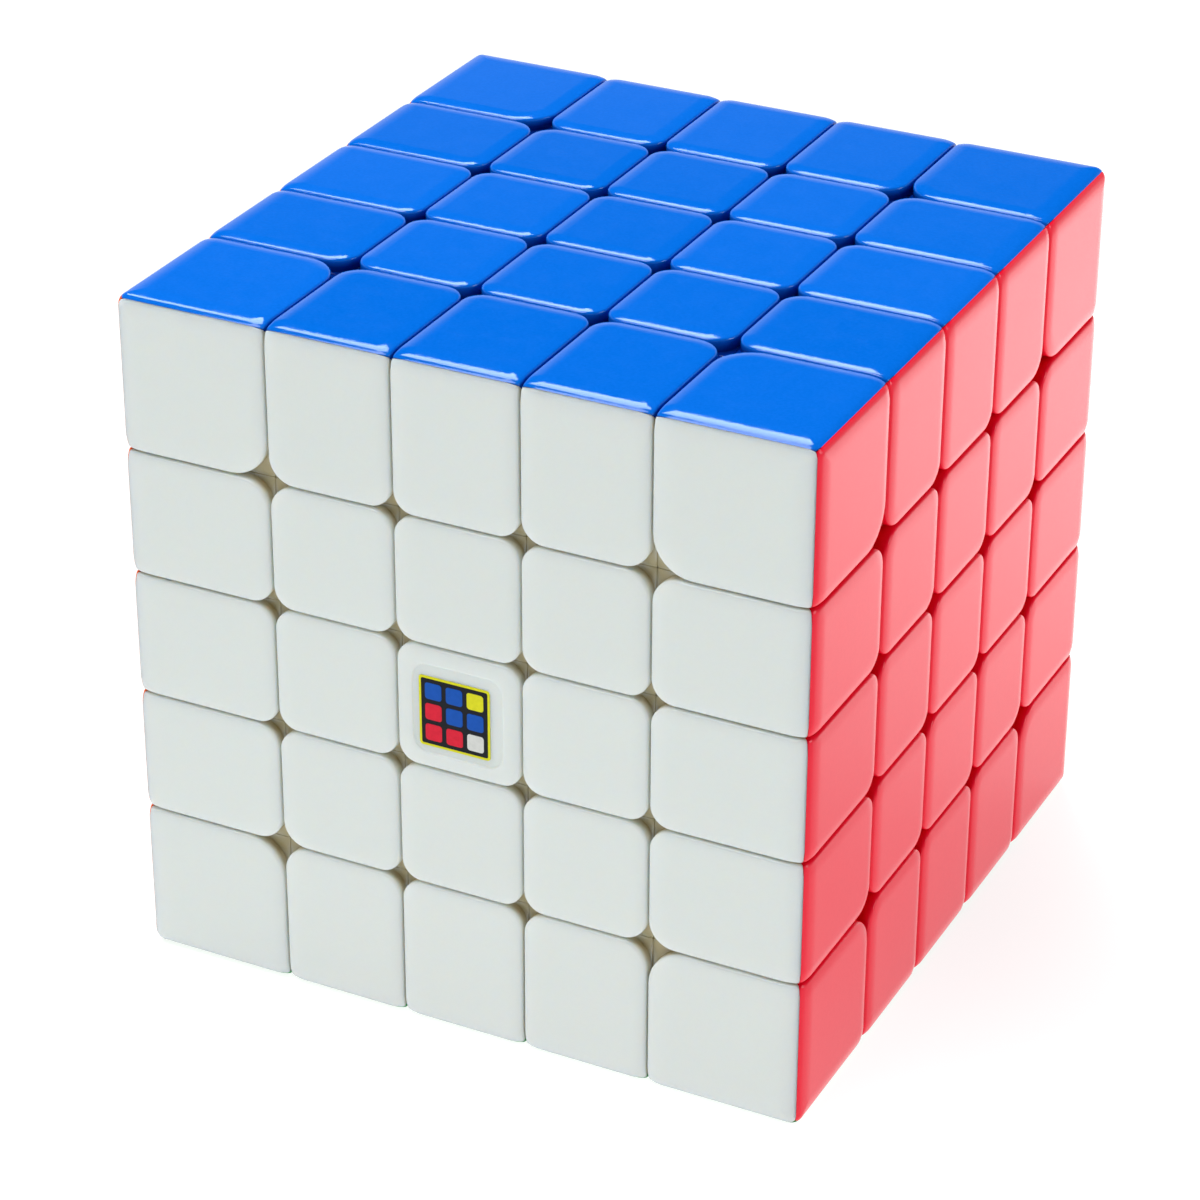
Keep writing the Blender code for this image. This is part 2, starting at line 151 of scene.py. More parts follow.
# deep is the painted shade colour that the walls and holes are darkened towards
def plastic(name, colour, rough, specular, deep, grain=0.10, mottle=0.05,
            wave=0.10, scatter=0.0, sheen_edge=0.0, ior=1.5):
    """Moulded plastic: fine frosted grain, soft mottling of gloss and tone,
    slow waviness of the moulded face, and a little tone change from one
    moulding to the next."""
    mat = bpy.data.materials.new(name)
    mat.use_nodes = True
    t = mat.node_tree
    bsdf = t.nodes["Principled BSDF"]
    bsdf.inputs["IOR"].default_value = ior
    bsdf.inputs["Specular IOR Level"].default_value = specular
    if scatter > 0:
        bsdf.inputs["Subsurface Weight"].default_value = scatter
        bsdf.inputs["Subsurface Radius"].default_value = (1.0, 0.85, 0.7)
        bsdf.inputs["Subsurface Scale"].default_value = 0.0016
    coord = add(t, "ShaderNodeTexCoord")
    fine = add(t, "ShaderNodeTexNoise", noise_dimensions="3D")
    fine.inputs["Scale"].default_value = 3600.0
    fine.inputs["Detail"].default_value = 2.0
    fine.inputs["Roughness"].default_value = 0.55
    cloud = add(t, "ShaderNodeTexNoise", noise_dimensions="3D")
    cloud.inputs["Scale"].default_value = 620.0
    cloud.inputs["Detail"].default_value = 4.0
    cloud.inputs["Roughness"].default_value = 0.6
    slow = add(t, "ShaderNodeTexNoise", noise_dimensions="3D")
    slow.inputs["Scale"].default_value = 130.0
    slow.inputs["Detail"].default_value = 1.0
    for node in (fine, cloud, slow):
        t.links.new(coord.outputs["Object"], node.inputs["Vector"])

    info = add(t, "ShaderNodeObjectInfo")
    shade = add(t, "ShaderNodeMapRange")
    shade.inputs["From Min"].default_value = 0.0
    shade.inputs["From Max"].default_value = 1.0
    shade.inputs["To Min"].default_value = -0.5
    shade.inputs["To Max"].default_value = 0.5
    t.links.new(info.outputs["Random"], shade.inputs["Value"])
    # tone: mottling plus the small difference between mouldings
    blend = add(t, "ShaderNodeMix", data_type="FLOAT")
    blend.inputs[0].default_value = 0.8
    t.links.new(cloud.outputs["Fac"], blend.inputs[2])
    t.links.new(fine.outputs["Fac"], blend.inputs[3])
    total = add(t, "ShaderNodeMath", operation="MULTIPLY_ADD")
    total.inputs[1].default_value = 0.30
    t.links.new(shade.outputs["Result"], total.inputs[0])
    t.links.new(blend.outputs[0], total.inputs[2])
    tone = add(t, "ShaderNodeMapRange")
    tone.inputs["From Min"].default_value = 0.22
    tone.inputs["From Max"].default_value = 0.78
    tone.inputs["To Min"].default_value = 0.0
    tone.inputs["To Max"].default_value = 1.0
    t.links.new(total.outputs["Value"], tone.inputs["Value"])
    mix = add(t, "ShaderNodeMix", data_type="RGBA")
    dark = tuple(c * (1.0 - mottle) for c in colour)
    light = tuple(min(1.0, c * (1.0 + mottle) + 0.004) for c in colour)
    mix.inputs[6].default_value = dark + (1.0,)
    mix.inputs[7].default_value = light + (1.0,)
    t.links.new(tone.outputs["Result"], mix.inputs[0])
    # painted shade: down its walls and round the holes the colour is mixed towards a darker painted shade
    # colour, by the depth attribute
    attr = add(t, "ShaderNodeAttribute", attribute_name="depth")
    down = add(t, "ShaderNodeMix", data_type="RGBA")
    down.inputs[7].default_value = deep + (1.0,)
    t.links.new(attr.outputs["Fac"], down.inputs[0])
    t.links.new(mix.outputs[2], down.inputs[6])
    t.links.new(down.outputs[2], bsdf.inputs["Base Color"])

    gloss = add(t, "ShaderNodeMapRange")
    gloss.inputs["From Min"].default_value = 0.3
    gloss.inputs["From Max"].default_value = 0.7
    gloss.inputs["To Min"].default_value = rough - 0.035
    gloss.inputs["To Max"].default_value = rough + 0.045
    t.links.new(cloud.outputs["Fac"], gloss.inputs["Value"])
    t.links.new(gloss.outputs["Result"], bsdf.inputs["Roughness"])

    bump_slow = add(t, "ShaderNodeBump")
    bump_slow.inputs["Strength"].default_value = wave
    bump_slow.inputs["Distance"].default_value = 0.0004
    t.links.new(slow.outputs["Fac"], bump_slow.inputs["Height"])
    bump = add(t, "ShaderNodeBump")
    bump.inputs["Strength"].default_value = grain
    bump.inputs["Distance"].default_value = 0.00005
    t.links.new(fine.outputs["Fac"], bump.inputs["Height"])
    t.links.new(bump_slow.outputs["Normal"], bump.inputs["Normal"])
    t.links.new(bump.outputs["Normal"], bsdf.inputs["Normal"])
    return mat


# the fifth colour of each plastic is its painted shade colour, mixed in down the walls and round the holes
MATS = {
    "blue": plastic("blue_plastic", (0.0002, 0.134, 0.640), 0.085, 0.36,
                    (0.0001, 0.022, 0.230), grain=0.11, mottle=0.06, wave=0.03),
    "white": plastic("white_plastic", (0.785, 0.830, 0.803), 0.20, 0.40,
                     (0.520, 0.440, 0.255), grain=0.03, mottle=0.006, wave=0.04, scatter=0.9),
    "red": plastic("red_plastic", (0.930, 0.006, 0.034), 0.13, 0.27,
                   (0.72, 0.0016, 0.006), grain=0.03, mottle=0.02, wave=0.05),
    "green": plastic("green_plastic", (0.002, 0.330, 0.060), 0.16, 0.36,
                     (0.001, 0.20, 0.03), grain=0.05, mottle=0.03, wave=0.05),
    "yellow": plastic("yellow_plastic", (0.860, 0.600, 0.004), 0.17, 0.36,
                      (0.70, 0.42, 0.002), grain=0.04, mottle=0.02, wave=0.05),
    "orange": plastic("orange_plastic", (0.900, 0.130, 0.004), 0.16, 0.32,
                      (0.65, 0.08, 0.002), grain=0.04, mottle=0.02, wave=0.05),
    "inner": plastic("inner_plastic", (0.640, 0.540, 0.320), 0.40, 0.4,
                     (0.55, 0.44, 0.22), grain=0.15, mottle=0.06),
}


# ------------------------------------------------------------- shell geometry
WALL_H1 = CROWN * (1.0 - math.cos(TILT))
WALL_H2 = WALL_H1 + BEVEL_R * math.cos(TILT)


def wall_inset(h):
    """How far a shell's rim beside a seam stands back at depth h: a gentle
    crown at first, then a tight round down to the wall."""
    if h >= WALL_H2:
        return 0.0
    if h <= WALL_H1:
        s = math.sqrt(max(0.0, 1.0 - (1.0 - h / CROWN) ** 2))
        return BEVEL_R * (1.0 - math.sin(TILT)) + CROWN * (math.sin(TILT) - s)
    c = math.cos(TILT) - (h - WALL_H1) / BEVEL_R
    return BEVEL_R * (1.0 - math.sqrt(max(0.0, 1.0 - c * c)))


EDGE_H1 = EDGE_CROWN * (1.0 - math.cos(EDGE_TILT))
EDGE_C = EDGE_H1 - EDGE_R * (1.0 - math.cos(EDGE_TILT))


def edge_point(angle):
    """Inset and depth of the cube's own edge where it is tilted by angle."""
    if angle <= EDGE_TILT:
        return (EDGE_R * (1.0 - math.sin(EDGE_TILT)) + EDGE_C
                + EDGE_CROWN * (math.sin(EDGE_TILT) - math.sin(angle)),
                EDGE_CROWN * (1.0 - math.cos(angle)))
    return (EDGE_R * (1.0 - math.sin(angle)) + EDGE_C,
            EDGE_H1 + EDGE_R * (math.cos(EDGE_TILT) - math.cos(angle)))


H45 = edge_point(math.pi / 4)[1]
ANGLES = [math.pi / 4 * k / 90 for k in range(91)]
EDGE_D = np.array([edge_point(a)[0] for a in ANGLES])
EDGE_H = np.array([edge_point(a)[1] for a in ANGLES])
SIN, COS = np.sin(ANGLES), np.cos(ANGLES)


def edge_inset(h, below=0.0):
    """Inset of the cube's own edge at depth h, down to 45 degrees and then
    the mitre between two shells; or of a layer that far below its surface."""
    if below <= 0.0 and h > H45:
        return h + MITRE
    return float(np.interp(h, EDGE_H + below * COS, EDGE_D + below * SIN))


ARC = 8


def corner_points(h, ku, kv, radius, extra):
    """One corner of a slice, as insets from the u side and the v side, from
    the point on the u side to the point on the v side."""
    pts = []
    if ku != kv and 0.004 < h < 3.3 * H45:
        # the rim beside the seam runs on over the cube's edge
        low = max(0.0, (h - H45) * math.sqrt(2.0))
        for k in range(ARC + 1):
            s = low + (h - low) * math.sin(math.pi / 2 * (1.0 - k / ARC)) ** 2
            s = min(s, h - 1e-5)
            w, e = wall_inset(s), edge_inset(h, max(s, 1e-6))
            if h > H45:
                e = max(e, h + MITRE)
            pts.append((w, e))
        if ku == "E":
            pts = [(e, w) for w, e in reversed(pts)]
        return [(x + extra, y + extra) for x, y in pts]
    iu = wall_inset(h) if ku == "W" else edge_inset(h)
    iv = wall_inset(h) if kv == "W" else edge_inset(h)
    if ku == "W" and kv == "W":
        r = max(radius - iu, RMIN)
    elif ku == "E" and kv == "E":
        side = EDGE_R + EDGE_C - h
        if h <= EDGE_H1:
            r = 0.05 + (EDGE_R * math.sin(EDGE_TILT) - 0.05) * h / EDGE_H1
        elif h <= H45:
            r = EDGE_R + EDGE_C - iu
        else:
            rho = math.sqrt(max(0.0, EDGE_R ** 2 - side ** 2)) if side > 0 else EDGE_R
            r = max(RMIN, (side * math.sqrt(2.0) - rho) / (math.sqrt(2.0) - 1.0))
    else:
        r = RMIN
    r = max(r - extra, RMIN * 0.6)
    for k in range(ARC + 1):
        a = math.pi / 2 * k / ARC
        pts.append((iu + extra + r * (1.0 - math.cos(a)), iv + extra + r * (1.0 - math.sin(a))))
    return pts


def outline(h, rect, kinds, radii, extra=0.0):
    """The slice of a shell at depth h: points going round anticlockwise.
    kinds: left, right, bottom, top; radii: the four corners."""
    u0, u1, v0, v1 = rect
    kl, kr, kb, kt = kinds
    pts = []
    for ku, kv, radius, x, y, sx, sy, turn in (
            (kl, kb, radii[0], u0, v0, 1, 1, False), (kr, kb, radii[1], u1, v0, -1, 1, True),
            (kr, kt, radii[2], u1, v1, -1, -1, False), (kl, kt, radii[3], u0, v1, 1, -1, True)):
        corner = corner_points(h, ku, kv, radius, extra)
        if turn:
            corner = corner[::-1]
        pts += [(x + sx * p, y + sy * q) for p, q in corner]
    return pts


def plate(half, radius):
    """A plain rounded square, anticlockwise."""
    pts = []
    for sx, sy, start in ((-1, -1, 180.0), (1, -1, 270.0), (1, 1, 0.0), (-1, 1, 90.0)):
        cx, cy = sx * (half[0] - radius), sy * (half[1] - radius)
        for k in range(ARC + 1):
            a = math.radians(start + 90.0 * k / ARC)
            pts.append((cx + radius * math.cos(a), cy + radius * math.sin(a)))
    return pts


def depths(bottom, has_edge):
    out = [0.0, bottom, WALL_H2]
    for deg in (3.0, 6.0, 9.0, 12.0, 15.0):
        out.append(CROWN * (1.0 - math.cos(math.radians(deg))))
    for deg in (26.0, 39.0, 52.0, 65.0, 78.0):
        out.append(WALL_H1 + BEVEL_R * (math.cos(TILT) - math.cos(math.radians(deg))))
    if has_edge:
        for deg in (3.5, 7.0, 10.5, 14.0, 19.0, 24.0, 30.0, 36.0, 41.0):
            out.append(edge_point(math.radians(deg))[1])
        out += [H45, H45 + 0.012, H45 + 0.08, H45 + 0.2, 0.9, 1.15]
    keep = []
    for x in sorted(x for x in out if x <= bottom + 1e-9):
        if keep and x - keep[-1] < 0.009 and abs(x - H45) > 1e-9:
            continue
        if keep and x - keep[-1] < 0.009:
            keep.pop()
        keep.append(x)
    return keep


def shell_rings(rect, kinds, radii, bottom=SHELL_T):
    """Rings of (u, v, depth) for one shell, top ring first. Below the round
    corners a squarer ledge closes most of the opening between four shells."""
    rings = [[(u, v, 0.0) for u, v in outline(0.0, rect, kinds, radii, 0.10)]]
    square = [min(r, STEP_R) for r in radii]
    grow = [STEP_OUT if k == "W" else 0.0 for k in kinds]
    wide = (rect[0] - grow[0], rect[1] + grow[1], rect[2] - grow[2], rect[3] + grow[3])
    for h in depths(bottom, "E" in kinds):
        if h > STEP + 0.05 and h < STEP + 0.15:
            continue
        if h >= STEP + 0.15 and rings[-1][0][2] < STEP + 0.05:
            for d, k in ((0.0, 1.0), (0.04, 0.72), (0.07, 0.10), (0.12, 0.0)):
                part = [sq + (r - sq) * k for sq, r in zip(square, radii)]
                box = tuple(q + (p - q) * k for p, q in zip(rect, wide))
                rings.append([(u, v, STEP + d) for u, v in outline(STEP + d, box, kinds, part)])
        deep = h > STEP + 0.05
        rings.append([(u, v, h) for u, v in
                      outline(h, wide if deep else rect, kinds, square if deep else radii)])
    return rings


def to_world(face, pts):
    """Face coordinates (u, v, depth below the face), in mm, to metres."""
    w, u, v = (Vector(a) for a in FACES[face])
    return [CENTRE + (u * p[0] + v * p[1] + w * (HALF - p[2])) * MM for p in pts]


def skin(rings, cap_top=True, cap_bottom=True):
    """Faces between rings of equal length, closed by an n-gon at each end."""
    n = len(rings[0])
    faces = []
    if cap_top:
        faces.append(tuple(range(n)))
    for k in range(len(rings) - 1):
        a, b = k * n, (k + 1) * n
        for i in range(n):
            j = (i + 1) % n
            faces.append((b + i, b + j, a + j, a + i))
    if cap_bottom:
        base = (len(rings) - 1) * n
        faces.append(tuple(base + i for i in reversed(range(n))))
    return faces


def make_object(name, verts, faces, material, sharp=35.0, depth=None):
    me = bpy.data.meshes.new(name)
    me.from_pydata([tuple(v) for v in verts], [], faces)
    if depth is not None:
        layer = me.attributes.new("depth", "FLOAT", "POINT")
        layer.data.foreach_set("value", np.array(depth, np.float32))
    me.validate()
    bm = bmesh.new()
    bm.from_mesh(me)
    bmesh.ops.remove_doubles(bm, verts=bm.verts, dist=0.5e-6)
    bmesh.ops.dissolve_degenerate(bm, edges=bm.edges, dist=0.3e-6)
    bm.to_mesh(me)
    bm.free()
    me.materials.append(material)
    me.shade_smooth()
    me.set_sharp_from_angle(angle=math.radians(sharp))
    ob = bpy.data.objects.new(name, me)
    collection.objects.link(ob)
    return ob


def cell_kinds(i, j):
    return ("E" if i == 0 else "W", "E" if i == 4 else "W",
            "E" if j == 0 else "W", "E" if j == 4 else "W")


def cell_rect(i, j):
    kl, kr, kb, kt = cell_kinds(i, j)
    return (BOUNDS[i] + (SEAM if kl == "W" else 0.0), BOUNDS[i + 1] - (SEAM if kr == "W" else 0.0),
            BOUNDS[j] + (SEAM if kb == "W" else 0.0), BOUNDS[j + 1] - (SEAM if kt == "W" else 0.0))


def corner_radius(i, j, du, dv):
    """In-plane radius of a facet's corner towards (du, dv)."""
    ou, ov = i in (0, 4), j in (0, 4)
    if ou and ov:
        return 3.45
    towards_u = (i + du) in (0, 4)       # the next cell that way is an outer one
    towards_v = (j + dv) in (0, 4)
    if ou or ov:
        along = j if ou else i
        if along == 2:
            return 1.85
        nearer = towards_v if ou else towards_u
        return 2.30 if nearer else 2.0
    if i == 2 and j == 2:
        return 1.75
    if i == 2 or j == 2:
        return 1.80
    if towards_u and towards_v:
        return 2.20
    return 1.85


def cell_radii(i, j):
    return [corner_radius(i, j, du, dv) for du, dv in ((-1, -1), (1, -1), (1, 1), (-1, 1))]


def face_point(face, u, v):
    w, uu, vv = (Vector(a) for a in FACES[face])
    return uu * u + vv * v + w * (HALF - 1.0)


cubies = {}
for face in FACES:
    for i in range(5):
        for j in range(5):
            mid_u = (BOUNDS[i] + BOUNDS[i + 1]) / 2
            mid_v = (BOUNDS[j] + BOUNDS[j + 1]) / 2
            key = cell_of(face_point(face, mid_u, mid_v))
            cubies.setdefault(key, []).append((face, i, j))

# ------------------------------------------------------------- inner bodies
TO_AXIS = {
    "x": Matrix(((0, 0, 1), (1, 0, 0), (0, 1, 0))).to_4x4(),
    "y": Matrix(((0, 1, 0), (0, 0, 1), (1, 0, 0))).to_4x4(),
    "z": Matrix.Identity(4),
}


def mesh_of(name, verts, faces):
    me = bpy.data.meshes.new(name)
    me.from_pydata([tuple(v) for v in verts], [], faces)
    bm = bmesh.new()
    bm.from_mesh(me)
    bmesh.ops.recalc_face_normals(bm, faces=bm.faces)
    bm.to_mesh(me)
    bm.free()
    return me


def box_mesh(lo, hi):
    (x0, y0, z0), (x1, y1, z1) = lo, hi
    v = [(x0, y0, z0), (x1, y0, z0), (x1, y1, z0), (x0, y1, z0),
         (x0, y0, z1), (x1, y0, z1), (x1, y1, z1), (x0, y1, z1)]
    f = [(3, 2, 1, 0), (4, 5, 6, 7), (0, 1, 5, 4), (1, 2, 6, 5), (2, 3, 7, 6), (3, 0, 4, 7)]
    return mesh_of("box", v, f)


def turned(profile, segs, phase=0.0):
    verts, rings = [], []
    for r, z in profile:
        if r < 1e-9:
            rings.append([len(verts)])
            verts.append((0.0, 0.0, z))
        else:
            ring = []
            for i in range(segs):
                a = 2.0 * math.pi * (i + phase) / segs
                ring.append(len(verts))
                verts.append((r * math.cos(a), r * math.sin(a), z))
            rings.append(ring)
    faces = []
    for a, b in zip(rings, rings[1:]):
        for i in range(segs):
            j = (i + 1) % segs
            if len(a) == 1:
                faces.append((a[0], b[j], b[i]))
            elif len(b) == 1:
                faces.append((a[i], a[j], b[0]))
            else:
                faces.append((a[i], a[j], b[j], b[i]))
    return mesh_of("turned", verts, faces)


def cut_line(foot, block, shift):
    pts = [(0.0, foot), (RHO_FOOT, foot), (RHO_BLOCK, block), (BIG, block)]
    lines = []
    for (r0, s0), (r1, s1) in zip(pts, pts[1:]):
        n = math.hypot(r1 - r0, s1 - s0)
        nr, ns = -(s1 - s0) / n, (r1 - r0) / n
        lines.append((r0 + nr * shift, s0 + ns * shift, (r1 - r0) / n, (s1 - s0) / n))
    out = [(0.0, lines[0][1])]
    for (ar, as_, adr, ads), (br, bs, bdr, bds) in zip(lines, lines[1:]):
        det = adr * (-bds) - (-bdr) * ads
        k = ((br - ar) * (-bds) - (-bdr) * (bs - as_)) / det
        out.append((ar + adr * k, as_ + ads * k))
    out.append((BIG, lines[-1][1]))
    return out


def layer_mesh(which, axis, segs=48):
    h = FOOT_GAP
    if which == "outer":
        p = cut_line(CUT_OUTER_FOOT, CUT_OUTER, h) + [(BIG, BIG), (0.0, BIG)]
    elif which == "inner":
        p = (cut_line(CUT_INNER_FOOT, CUT_INNER, h)
             + list(reversed(cut_line(CUT_OUTER_FOOT, CUT_OUTER, -h))))
    else:
        p = cut_line(CUT_INNER_FOOT, CUT_INNER, -h)
        p = [(r, -s) for r, s in p] + list(reversed(p))
    me = turned(p, segs)
    me.transform(TO_AXIS[axis])
    return me


def boolean(base, steps, name, dissolve=True):
    host = bpy.data.objects.new("work", base)
    collection.objects.link(host)
    made = [host]
    for k, (operation, me) in enumerate(steps):
        tool = bpy.data.objects.new("work_tool_%d" % k, me)
        tool.hide_render = True
        collection.objects.link(tool)
        made.append(tool)
        mod = host.modifiers.new("cut_%d" % k, 'BOOLEAN')
        mod.operation = operation
        mod.solver = 'EXACT'
        mod.object = tool
    bpy.context.view_layer.update()
    deps = bpy.context.evaluated_depsgraph_get()
    out = bpy.data.meshes.new_from_object(host.evaluated_get(deps))
    out.name = name
    for ob in made:
        bpy.data.objects.remove(ob, do_unlink=True)
    bm = bmesh.new()
    bm.from_mesh(out)
    bmesh.ops.remove_doubles(bm, verts=bm.verts, dist=0.003)
    if dissolve:
        bmesh.ops.dissolve_limit(bm, angle_limit=math.radians(0.3), verts=bm.verts,
                                 edges=bm.edges, use_dissolve_boundaries=False)
    bm.to_mesh(out)
    bm.free()
    out.materials.clear()
    return out


def prism(rect, radii, low, high):
    """A rounded block standing along Z between two heights, on a wide base
    below, as a closed tool: the block's plan is kept above the foot only."""
    pts = []
    u0, u1, v0, v1 = rect
    spec = [(u0, v0, radii[0], 180.0, 1, 1), (u1, v0, radii[1], 270.0, -1, 1),
            (u1, v1, radii[2], 0.0, -1, -1), (u0, v1, radii[3], 90.0, 1, -1)]
    for x, y, r, start, sx, sy in spec:
        for k in range(ARC + 1):
            a = math.radians(start + 90.0 * k / ARC)
            pts.append((x + sx * r + r * math.cos(a), y + sy * r + r * math.sin(a)))
    n = len(pts)
    wide = 30.0
    cu, cv = (u0 + u1) / 2, (v0 + v1) / 2
    spread = [(cu + (p[0] - cu) * wide, cv + (p[1] - cv) * wide) for p in pts]
    rings = [[(x, y, high) for x, y in pts], [(x, y, low) for x, y in pts],
             [(x, y, low - 0.4) for x, y in spread], [(x, y, -BIG) for x, y in spread]]
    verts = [p for ring in rings for p in ring]
    return mesh_of("prism", verts, skin(rings))


INNER_TOP = HALF - SHELL_T - 0.05
BLOCK_LOW = 21.8


def inner_body(index):
    """The body under the shells of the cubie at this grid index, all
    coordinates at or above zero (index 2, 3 or 4 on each axis)."""
    name = {2: "middle", 3: "inner", 4: "outer"}
    steps = [('INTERSECT', layer_mesh(name[i], a)) for i, a in zip(index, "xyz")]
    for axis, a in enumerate("xyz"):
        if index[axis] != 4:
            continue
        # the face along this axis, seen with the other two axes as plan
        face = {"x": "right", "y": "back", "z": "top"}[a]
        key, i, j = next((c for c in cubies[index] if c[0] == face), None)
        kinds = cell_kinds(i, j)
        rect = cell_rect(i, j)
        extra = FOOT_GAP - SEAM
        rect = (rect[0] + (extra if kinds[0] == "W" else -2.0), rect[1] - (extra if kinds[1] == "W" else -2.0),
                rect[2] + (extra if kinds[2] == "W" else -2.0), rect[3] - (extra if kinds[3] == "W" else -2.0))
        radii = []
        for (ku, kv), r in zip(((0, 2), (1, 2), (1, 3), (0, 3)), cell_radii(i, j)):
            radii.append(r + 0.15 if kinds[ku] == "W" and kinds[kv] == "W" else 0.3)
        tool = prism(rect, radii, BLOCK_LOW, BIG)
        w, u, v = (Vector(q) for q in FACES[face])
        basis = Matrix((u, v, w)).transposed().to_4x4()
        tool.transform(basis)
        steps.append(('INTERSECT', tool))
    top = INNER_TOP
    base = box_mesh((-top,) * 3, (top,) * 3)
    if index == (2, 2, 4):
        base = box_mesh((-top, -top, -top), (top, top, 28.5))
        steps.append(('DIFFERENCE', box_mesh((-3.8, -3.8, 24.3), (3.8, 3.8, 40.0))))
        steps.append(('DIFFERENCE', turned([(0, 14.0), (3.0, 14.0), (3.0, 25.3), (0, 25.3)], 40)))
        steps.append(('DIFFERENCE', turned([(0, 8.0), (1.6, 8.0), (1.6, 15.0), (0, 15.0)], 24)))
    return boolean(base, steps, "inner_" + kind_of(*index))


INNER = {index: inner_body(index) for index in
         ((4, 4, 4), (3, 4, 4), (2, 4, 4), (3, 3, 4), (2, 3, 4), (2, 2, 4))}


def all_turns():
    """The 24 turns of a cube."""
    out = []
    for a in range(3):
        for sa in (1, -1):
            for b in range(3):
                if b == a:
                    continue
                for sb in (1, -1):
                    x, y = Vector((0, 0, 0)), Vector((0, 0, 0))
                    x[a], y[b] = sa, sb
                    out.append(Matrix((x, y, x.cross(y))).transposed())
    return out


TURNS = all_turns()


def turn_for(index):
    """A proper turn that takes one of the drawn inner bodies to this grid index; an error is raised where
    there is none."""
    target = Vector([i - 2 for i in index])
    for drawn in INNER:
        d = Vector([i - 2 for i in drawn])
        for m in TURNS:
            if ((m @ d) - target).length < 1e-6:
                return drawn, m.to_4x4()
    raise RuntimeError("no turn for %s" % (index,))


def finish_piece(ob, body, nodes):
    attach(ob, body)
    if nodes:
        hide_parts(*nodes)


def painted_shade_of(rings, face):
    """How much painted shade each point takes, 0 to 1, starting 0.45 mm down and full from 0.95 mm. On white
    shells the straight walls take only part of it, so the painted shade gathers round the holes."""
    straight = 0.30 if COLOUR[face] == "white" else 1.0
    out = []
    for ring in rings:
        for m, p in enumerate(ring):
            share = 1.0
            if p[2] <= STEP + 0.05:
                bend = math.sin(math.pi * (m % (ARC + 1)) / ARC)
                share = straight + (1.0 - straight) * bend
            out.append(share * min(1.0, max(0.0, (p[2] - 0.45) / 0.5)))
    return out


# ------------------------------------------------------------- the cubies
for index, cells in sorted(cubies.items()):
    name = cubie_name(*index)
    node = cad_node(*index)
    body = LAYER[index[2]]
    is_hub = kind_of(*index) == "centre"
    for face, i, j in cells:
        if is_hub:
            continue
        rings = shell_rings(cell_rect(i, j), cell_kinds(i, j), cell_radii(i, j))
        verts = [p for ring in rings for p in to_world(face, ring)]
        # the depth attribute carries the painted shade down the walls and round the holes
        ob = make_object("%s_shell_%s" % (name, face), verts, skin(rings),
                         MATS[COLOUR[face]], depth=painted_shade_of(rings, face))
        finish_piece(ob, body, [node])
    drawn, turn = turn_for(index)
    me = INNER[drawn].copy()
    me.transform(turn)
    me.transform(Matrix.Scale(MM, 4))
    me.materials.append(MATS["inner"])
    me.shade_smooth()
    me.set_sharp_from_angle(angle=math.radians(28.0))
    ob = bpy.data.objects.new(name + "_inner", me)
    ob.location = CENTRE
    collection.objects.link(ob)
    finish_piece(ob, body, [node])

# ------------------------------------------------------------- centre caps
CAP_T = 2.2
for face in FACES:
    kinds, rect, radii = cell_kinds(2, 2), cell_rect(2, 2), cell_radii(2, 2)
    rings = shell_rings(rect, kinds, radii, bottom=CAP_T)
    badge = face == "front"
    if badge:
        # a shallow square panel is sunk into the front cap
        def square(half, r, h):
            return [(u, v, h) for u, v in plate((half, half), r)]
        rings = [square(3.98, 1.25, 0.15), square(4.06, 1.33, 0.140),
                 square(4.11, 1.38, 0.095), square(4.14, 1.41, 0.030),
                 square(4.20, 1.47, 0.0)] + rings[1:]
    verts = [p for ring in rings for p in to_world(face, ring)]
    # the depth attribute carries the painted shade down the cap's walls and round the holes
    cap = make_object("cap_%s_plate" % face, verts, skin(rings), MATS[COLOUR[face]],
                      depth=painted_shade_of(rings, face))
    finish_piece(cap, "cap_" + face, ["cap_" + face])

    # the square skirt that snaps into the fixed centre
    def skirt_ring(half, r, h):
        return [(u, v, h) for u, v in plate((half, half), r)]
    z = [CAP_T + 0.02, CAP_T + 2.4, CAP_T + 2.75, CAP_T + 3.2, CAP_T + 3.6, CAP_T + 3.8]
    rings = [skirt_ring(3.40, 0.9, z[0]), skirt_ring(3.40, 0.9, z[1]), skirt_ring(3.50, 1.0, z[2]),
             skirt_ring(3.50, 1.0, z[3]), skirt_ring(3.36, 0.86, z[4]), skirt_ring(3.28, 0.8, z[5]),
             skirt_ring(2.70, 0.5, z[5]), skirt_ring(2.60, 0.4, z[4]), skirt_ring(2.50, 0.3, z[0])]
    n = len(rings[0])
    verts = [p for ring in rings for p in to_world(face, ring)]
    faces = skin(rings, False, False)
    last = (len(rings) - 1) * n
    faces += [(i, (i + 1) % n, last + (i + 1) % n, last + i) for i in range(n)]
    ob = make_object("cap_%s_skirt" % face, verts, faces, MATS[COLOUR[face]])
    finish_piece(ob, "cap_" + face, ["cap_" + face])


